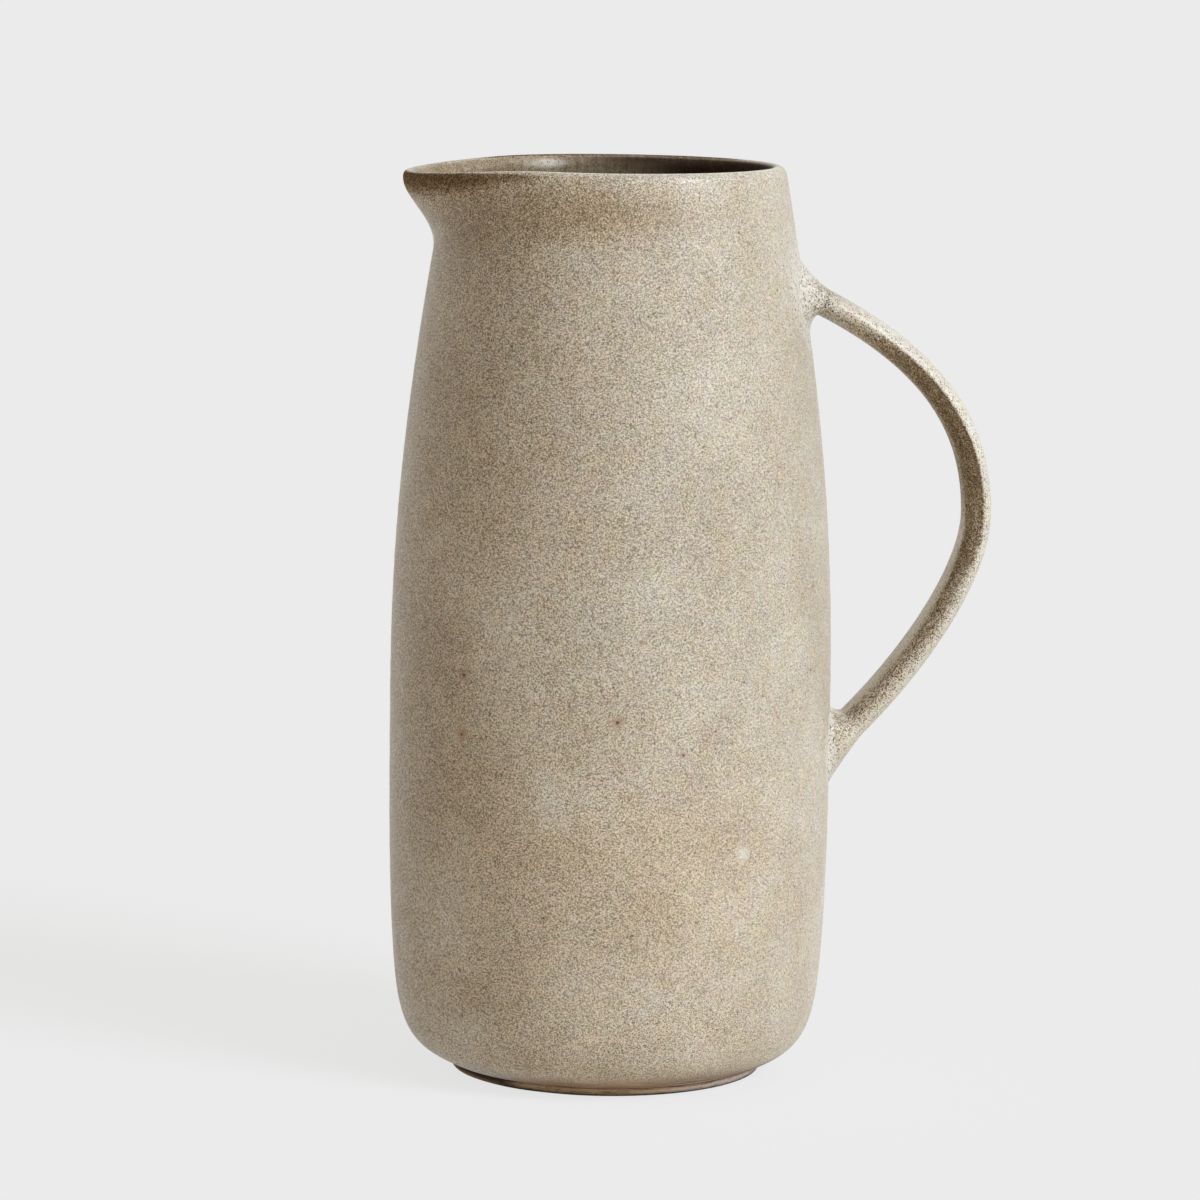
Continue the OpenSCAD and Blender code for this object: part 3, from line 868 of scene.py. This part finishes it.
# Scattered dots: distance apart in mm, share, shift, and their core and edge as shares of the distance
GRAIN = 0.195
LARGE_SPECKS, GROG = (5.5, 0.45, 3.0, 0.035, 0.085), (0.7, 0.4, 8.0)
PINHOLES, FLECK_SIZE, FLECK_SHAPE = (1.0, 0.9, 9.0, 0.22, 0.28), 0.6, (7.0, 0.28, 0.42)

# Gloss: roughness of the sound glaze, and its shine where it is sound and where it is dull
GLAZE_ROUGH, SHINE = 0.46, (0.5, 0.03)
RELIEF, CLAY_RELIEF = 0.12 * MM, 0.08 * MM


def bare_colour(s):
    """Bare iron-rich clay: dark brown, drawn pale brown or grey in places, where it was rubbed and as painted
    light on the lit side.
    """
    turned = s.noise(*TURNED_CLAY)
    colour = s.mix(s.remap(s.noise(*CLAY_PATCHES), 0.4, 0.65), CLAY_DARK, CLAY)
    pale = s.mix(s.value("grey"), *CLAY_RUBBED_AND_LIT)
    pale = s.mix(s.remap(turned, 0.48, 0.36, 0.0, 0.5), pale, CLAY)
    # Painted light and rubbing: the pale clay shows in front and on the right, the lit side
    colour = s.mix(s.times(s.value("rub_and_light"), 0.92), colour, pale)
    colour = s.mix(s.times(s.value("tan"), 0.9), colour, CLAY_TAN)
    return s.mix(s.times(s.dots(*GROG), s.remap(s.value("rub_and_light"), 0.0, 1.0, 0.55, 0.25)), colour, CLAY_DARK)


def glaze_material(name):
    s = Shade(name)
    thin, pool, inner, dark_and_shade = s.value("thin"), s.value("pool"), s.value("inner"), s.value("dark_and_shade")
    _, grain, grain_hue = s.cells(GRAIN)
    grain = s.math("SUBTRACT", grain, 0.5)

    # Broad clouds of tan and grey, from how thick the glaze lies
    mottle, fine_mottle = s.swing(0.13, MOTTLE), s.swing(0.04, FINE_MOTTLE)
    tone = s.plus(s.swing(0.28, CLOUD), mottle, s.plus(fine_mottle, s.value("deep")))
    warmth = s.plus(s.value("warm"), s.times(tone, 0.5))
    yellow = s.plus(warmth, s.swing(0.7, YELLOW_PATCHES), s.times(s.math("SUBTRACT", grain_hue, 0.5), 0.5))
    pink = s.plus(warmth, s.swing(0.8, PINK_PATCHES))
    ground = s.mix(s.spread(tone), *GROUND)
    for share, tints in ((yellow, BLUE_TO_YELLOW), (pink, GREEN_TO_PINK)):
        ground = s.mix(1.0, ground, s.mix(s.spread(share), *tints), "MULTIPLY")

    # A dense mosaic of dark and pale grains, with more dark ones where the tone is darker and, as painted
    # shade, on the jug's shaded left
    strength = s.times(s.spread(tone, 0.7, 0.85, 1.1), s.value("speckled"))
    speck = s.times(s.remap(s.plus(grain, s.times(tone, 0.15)), -0.01, 0.07), strength)
    iron = s.mix(grain_hue, *IRON)
    colour = s.mix(speck, ground, iron)

    # Sparse larger specks
    colour = s.mix(s.times(s.dots(*LARGE_SPECKS), 0.9), colour, LARGE_SPECK)

    # Inside: beige with brown runs at the pouring lip, dark brown at the handle's side, darkened there to
    # near black as painted shade
    runs = s.noise(*RUNS, place=s.round_wall())
    runs = s.plus(runs, s.times(s.plus(mottle, fine_mottle), 0.5))
    lined = s.mix(s.times(speck, 0.85), s.mix(s.remap(runs, 0.3, 0.75), *LINING), iron)
    brown = s.mix(s.remap(s.plus(mottle, s.times(grain, 0.3)), -0.15, 0.15), *SHADED_DARK_LINING)
    colour = s.mix(inner, colour, s.mix(dark_and_shade, lined, brown))

    # Pooled cream at the joins, and a cream patch inside the far rim as a painted highlight
    cream = s.mix(s.remap(s.noise(*CREAM_PATCHES), 0.35, 0.65), *CREAM)
    cream = s.mix(s.times(speck, 0.3), cream, iron)
    pool_and_highlight = s.remap(s.plus(pool, mottle, s.times(grain, 0.25)), 0.3, 0.75)
    colour = s.mix(pool_and_highlight, colour, cream)

    # Where it broke thin over an edge: brown with tan grains, ending grain by grain
    rust = s.mix(grain_hue, *RUST)
    tan = s.mix(s.remap(s.noise(*TAN_PATCHES), 0.35, 0.65), *TAN)
    broken = s.mix(s.remap(s.plus(grain, s.times(thin, 0.75)), 0.65, 0.55), rust, tan)
    edge = s.plus(s.swing(0.15, BREAK_EDGE), s.times(grain, 0.6), s.times(mottle, 0.6))
    break_share = s.remap(s.plus(thin, edge), 0.25, 0.75)
    colour = s.mix(s.times(break_share, 0.94), colour, broken)

    # Wider dark specks, sparse on the wall and dense on the strap, and pinholes at the joins
    fleck_share = s.plus(s.value("flecks"), s.spread(tone, 0.7, 0.08, 0.2))
    flecks = s.dots(FLECK_SIZE, fleck_share, *FLECK_SHAPE)
    holes = s.times(s.dots(*PINHOLES), s.math("SUBTRACT", s.remap(pool, 0.15, 0.5), inner, True))
    colour = s.mix(s.most(s.times(flecks, 0.85), holes), colour, PINHOLE)

    # Scuffed by turning, just above the foot
    scuff = s.times(s.value("scuff"), s.remap(s.noise(*TURNED_GLAZE), 0.3, 0.6, 0.55, 1.0))
    colour = s.mix(scuff, colour, s.mix(s.value("grey"), *SCUFFED))

    # Iron spots with a rusty halo, and one pale spot
    for point, core, halo in IRON_SPOTS.values():
        colour = s.mix(s.times(s.near(point, halo), 0.6), colour, IRON_HALO)
        colour = s.mix(s.near(point, core, core * 0.4), colour, IRON_CORE)
    colour = s.mix(s.times(s.near(*PALE_SPOT), 0.6), colour, PALE_SPOT_COLOUR)

    # Bare clay below the wavy line where the glaze stops
    ragged = s.plus(s.value("line"), s.swing(0.35, RAGGED_EDGE))
    bare = s.remap(ragged, -0.1, 0.12)
    dark_edge = s.times(s.remap(ragged, -1.1, -0.1), s.remap(s.value("rub_and_light"), 0.0, 1.0, 0.45, 0.15))
    colour = s.mix(dark_edge, colour, GLAZE_EDGE)
    colour = s.mix(bare, colour, bare_colour(s))

    # Matter where it broke thin, where it was scuffed and inside
    dull = s.most(break_share, s.times(inner, s.remap(dark_and_shade, 0.0, 1.0, 0.5, 1.0, False)))
    dull = s.most(dull, scuff)
    rough = s.plus(GLAZE_ROUGH, s.times(mottle, 0.3), s.times(s.most(bare, dull), 0.3))
    shine = s.remap(dull, 0.0, 1.0, *SHINE, False)

    # The grains stand a little below the glaze, the pinholes far below, and the glaze is dimpled
    relief = s.math("SUBTRACT", s.times(speck, -0.25), s.times(holes, 1.2))
    normal = s.bump(s.noise(*DIMPLES), RELIEF, s.bump(relief, RELIEF))
    return s.finish(colour, rough, normal, shine, shine)


def clay_material(name):
    s = Shade(name)
    grain = s.noise(*CLAY_GRAIN)
    rough = s.remap(grain, 0.3, 0.7, 0.72, 0.9, False)
    return s.finish(bare_colour(s), rough, s.bump(grain, CLAY_RELIEF), 0.3)


join_glaze = glaze_material("join_glaze")
upper_rings = top_ring(TOP_OUT), top_wall(0), top_wall(JOIN_SIZE[0], JOIN_SINK)
lower_rings = low_ring(LOW_OUT), low_wall(0), low_wall(JOIN_SIZE[1], JOIN_SINK)
for node, slot, piece in (
    ("body", "glaze", make_body(glaze_material("glaze"))),
    ("handle", "handle_glaze", make_handle(glaze_material("handle_glaze"))),
    ("upper_join", "join_glaze", make_join("upper_join_clay", *upper_rings, True, join_glaze)),
    ("lower_join", "join_glaze", make_join("lower_join_clay", *lower_rings, False, join_glaze)),
    ("foot_ring", "bare_clay", make_foot(clay_material("bare_clay"))),
):
    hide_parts(node)
    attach(piece, "root")


# Floor, world, lamps and camera

BACKGROUND = 0.8308


def seen_by_camera(nodes, links):
    """1 for what the camera sees, straight, in a reflection or through glass."""
    path = nodes.new("ShaderNodeLightPath")
    total = path.outputs["Is Camera Ray"]
    for name in ("Is Glossy Ray", "Is Transmission Ray"):
        add = nodes.new("ShaderNodeMath")
        add.operation = "MAXIMUM"
        links.new(total, add.inputs[0])
        links.new(path.outputs[name], add.inputs[1])
        total = add.outputs[0]
    return total


def make_floor():
    mesh = bpy.data.meshes.new("floor")
    rings, around, nearest, furthest = 16, 64, 0.2, 60
    points, faces = [(0, 0, 0)], []
    radii = nearest * (furthest / nearest) ** (np.arange(rings) / (rings - 1))
    for r in radii:
        for n in range(around):
            a = 2 * math.pi * n / around
            points.append((r * math.cos(a), r * math.sin(a), 0))
    for n in range(around):
        m = (n + 1) % around
        faces.append((0, 1 + n, 1 + m))
        for k in range(rings - 1):
            a, b = 1 + k * around, 1 + (k + 1) * around
            faces.append((a + n, b + n, b + m, a + m))
    mesh.from_pydata(points, [], faces)
    material = bpy.data.materials.new("floor")
    material.use_nodes = True
    nodes, links = material.node_tree.nodes, material.node_tree.links
    nodes.clear()
    seen = seen_by_camera(nodes, links)
    plain = nodes.new("ShaderNodeBsdfDiffuse")
    plain.inputs[0].default_value = (*FLOOR_BOUNCE, 1)
    shadowed = nodes.new("ShaderNodeBsdfDiffuse")
    shadowed.inputs[0].default_value = (FLOOR_SHADE, FLOOR_SHADE, FLOOR_SHADE, 1)
    glow = nodes.new("ShaderNodeEmission")
    lit = (a + FLOOR_KEY * k for a, k in zip(AMBIENT, KEY_COLOUR))
    glow.inputs[0].default_value = (*(BACKGROUND - FLOOR_SHADE * light for light in lit), 1)
    glow.inputs[1].default_value = 1.0
    both = nodes.new("ShaderNodeAddShader")
    links.new(shadowed.outputs[0], both.inputs[0])
    links.new(glow.outputs[0], both.inputs[1])
    mix = nodes.new("ShaderNodeMixShader")
    links.new(seen, mix.inputs[0])
    links.new(plain.outputs[0], mix.inputs[1])
    links.new(both.outputs[0], mix.inputs[2])
    out = nodes.new("ShaderNodeOutputMaterial")
    links.new(mix.outputs[0], out.inputs[0])
    mesh.materials.append(material)
    floor = bpy.data.objects.new("floor", mesh)
    bpy.context.scene.collection.objects.link(floor)


AMBIENT = (0.385, 0.33, 0.265)
KEY_AZIMUTH, KEY_ELEVATION, KEY_STRENGTH, KEY_SIZE = 50.0, 34.0, 2.55, 24.0
KEY_COLOUR = (0.955, 1.03, 1.14)
FLOOR_SHADE, FLOOR_BOUNCE = 0.12, (0.75, 0.67, 0.56)
FLOOR_KEY = KEY_STRENGTH * math.sin(math.radians(KEY_ELEVATION)) / math.pi


def make_world():
    world = bpy.data.worlds.new("studio")
    bpy.context.scene.world = world
    world.use_nodes = True
    nodes, links = world.node_tree.nodes, world.node_tree.links
    nodes.clear()
    seen = seen_by_camera(nodes, links)
    mix = nodes.new("ShaderNodeMix")
    mix.data_type = "RGBA"
    links.new(seen, mix.inputs[0])
    mix.inputs[6].default_value = (*AMBIENT, 1)
    mix.inputs[7].default_value = (BACKGROUND, BACKGROUND, BACKGROUND, 1)
    back = nodes.new("ShaderNodeBackground")
    links.new(mix.outputs[2], back.inputs[0])
    back.inputs[1].default_value = 1.0
    out = nodes.new("ShaderNodeOutputWorld")
    links.new(back.outputs[0], out.inputs[0])


def make_key():
    lamp = bpy.data.lights.new("key", "SUN")
    lamp.energy = KEY_STRENGTH
    lamp.angle = math.radians(KEY_SIZE)
    lamp.color = KEY_COLOUR
    key = bpy.data.objects.new("key", lamp)
    bpy.context.scene.collection.objects.link(key)
    a, e = math.radians(KEY_AZIMUTH), math.radians(KEY_ELEVATION)
    back = Vector((math.sin(a) * math.cos(e), -math.cos(a) * math.cos(e), math.sin(e)))
    key.rotation_mode = "QUATERNION"
    key.rotation_quaternion = (-back).to_track_quat("-Z", "Y")
    key.location = back * 2


# The camera, in degrees and metres, and its lens in pixels of a photograph this many pixels wide
CAMERA_TURN, CAMERA_PITCH, CAMERA_ROLL, CAMERA_YAW = -5.0, 7.922, 0.769, -0.117
CAMERA_AWAY, CAMERA_UP = 1.5321, 0.34304
LENS_PIXELS, PHOTO_PIXELS, SENSOR = 5621.1, 1200, 36


def make_camera():
    """At the photograph's place: found from the jug's outline and its rim's ellipse."""
    turn, pitch, roll, yaw = (
        math.radians(v) for v in (CAMERA_TURN, CAMERA_PITCH, CAMERA_ROLL, CAMERA_YAW)
    )
    forward = (math.sin(yaw) * math.cos(pitch), math.cos(yaw) * math.cos(pitch), -math.sin(pitch))
    forward = Vector(forward)
    level_right = Vector((math.cos(yaw), -math.sin(yaw), 0))
    level_up = level_right.cross(forward)
    right = math.cos(roll) * level_right + math.sin(roll) * level_up
    up = -math.sin(roll) * level_right + math.cos(roll) * level_up
    place = Matrix.Identity(4)
    for column, axis in enumerate((right, up, -forward, Vector((0, -CAMERA_AWAY, CAMERA_UP)))):
        for row in range(3):
            place[row][column] = axis[row]
    data = bpy.data.cameras.new("camera")
    data.sensor_width = SENSOR
    data.lens = LENS_PIXELS / PHOTO_PIXELS * SENSOR
    data.clip_start, data.clip_end = 0.05, 200
    camera = bpy.data.objects.new("camera", data)
    bpy.context.scene.collection.objects.link(camera)
    camera.matrix_world = Matrix.Rotation(turn, 4, "Z") @ place
    bpy.context.scene.camera = camera


make_floor()
make_world()
make_key()
make_camera()
bpy.context.scene.view_settings.view_transform = "Standard"
